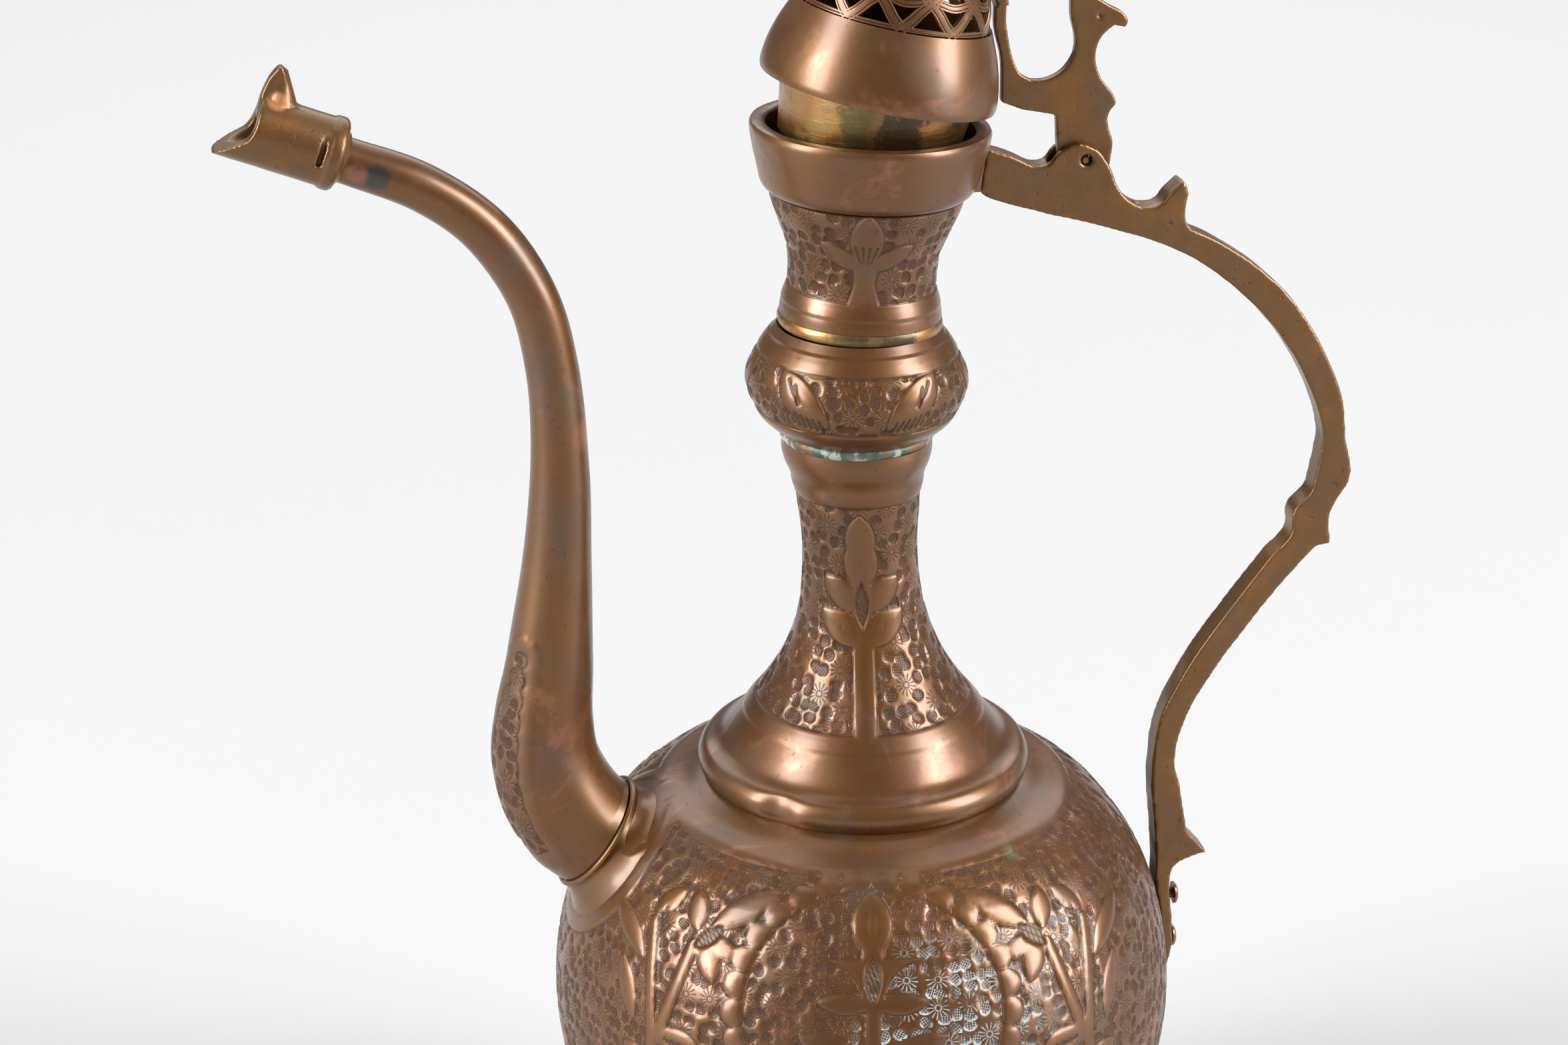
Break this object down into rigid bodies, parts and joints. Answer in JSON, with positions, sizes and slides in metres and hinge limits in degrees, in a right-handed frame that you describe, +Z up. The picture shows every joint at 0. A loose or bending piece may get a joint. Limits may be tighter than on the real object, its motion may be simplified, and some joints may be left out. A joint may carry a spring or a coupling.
{
  "type": "water jug",
  "caption": "Long-necked copper ewer with an S-shaped spout ending in an animal head, a cast handle and a pierced lid hinged between two ears on the handle.",
  "frame": {"origin": "centre of the flat underside of the foot", "axes": "+Z up along the jug, -X towards the spout, +X towards the handle, -Y the front face"},
  "size_m": [0.286, 0.1636, 0.4133],
  "materials": {
    "chased_copper": "punched and chased copper with brown patina",
    "copper_sheet": "hammered copper sheet with brown patina",
    "dark_copper": "dark oxidised copper",
    "brass_sheet": "worn and scratched brass",
    "cast_brass": "olive-brown cast brass, slightly pitted",
    "solder": "dull grey-green solder"
  },
  "bodies": {
    "jug": {"foot_rim": "dark_copper", "foot_base_plate": "dark_copper", "pedestal_foot": "copper_sheet", "foot_solder": "solder", "body_bowl": "chased_copper", "body_shoulder": "chased_copper", "seam_strip": "solder", "lower_neck": "chased_copper", "lower_neck_solder": "solder", "neck_knop": "chased_copper", "upper_neck_solder": "brass_sheet", "upper_neck": "chased_copper", "mouth_collar": "copper_sheet", "spout_socket": "copper_sheet", "spout_joint_ring": "brass_sheet", "spout_tube": "copper_sheet", "spout_head": "cast_brass", "handle": "cast_brass", "handle_lug_solder": "solder", "hinge_pin": "brass_sheet", "handle_rivet_1": "cast_brass", "handle_rivet_2": "cast_brass"},
    "lid": {"lid_sleeve": "brass_sheet", "lid_band": "copper_sheet", "lid_dome": "dark_copper", "finial_washer": "copper_sheet", "finial": "cast_brass", "finial_nut": "brass_sheet", "hinge_arm": "cast_brass", "strap_rivet_1": "cast_brass", "strap_rivet_2": "cast_brass"}
  },
  "joints": [
    {"name": "lid_hinge", "type": "hinge", "parent": "jug", "child": "lid", "pos_m": [0.054, 0, 0.3258], "axis": [0, 1, 0], "range_deg": [-9, 95]}
  ]
}
